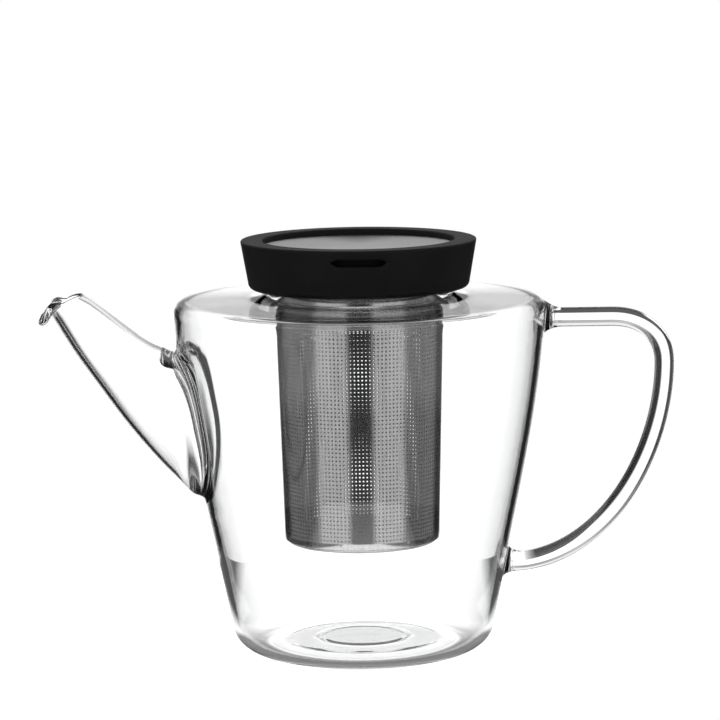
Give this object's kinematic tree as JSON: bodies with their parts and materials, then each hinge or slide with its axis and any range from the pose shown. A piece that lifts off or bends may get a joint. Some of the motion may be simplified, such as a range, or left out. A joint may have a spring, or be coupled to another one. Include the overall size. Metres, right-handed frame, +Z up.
{
  "type": "teapot",
  "caption": "Clear glass teapot with tapered body, welded conical spout and loop handle, hanging perforated steel strainer and black push-in lid with a steel disc.",
  "frame": {"origin": "on the axis of the glass body, on the surface that the pot stands on", "axes": "+Z up, -X towards the spout's mouth, +X towards the handle, -Y towards the side of the lid with the slot"},
  "size_m": [0.2223, 0.13, 0.1447],
  "materials": {
    "glass": "clear blown borosilicate glass, fire-polished",
    "strainer_steel": "rolled stainless sheet, satin, drilled with small holes in rows",
    "black_lid": "soft matte black moulding",
    "brushed_steel": "stainless disc, turned brushing",
    "silicone": "grey translucent silicone"
  },
  "bodies": {
    "pot": {"glass_body": "glass", "glass_spout": "glass", "glass_handle": "glass"},
    "strainer": {"strainer_wall": "strainer_steel", "strainer_base": "strainer_steel", "strainer_rim": "strainer_steel"},
    "lid": {"lid_shell": "black_lid", "lid_top_disc": "brushed_steel", "lid_plug": "strainer_steel", "lid_seal_ring": "silicone"}
  },
  "joints": [
    {"name": "strainer_lift", "type": "slide", "parent": "pot", "child": "strainer", "axis": [0, 0, 1], "range_m": [0, 0.1]},
    {"name": "lid_lift", "type": "slide", "parent": "strainer", "child": "lid", "axis": [0, 0, 1], "range_m": [0, 0.05]}
  ]
}
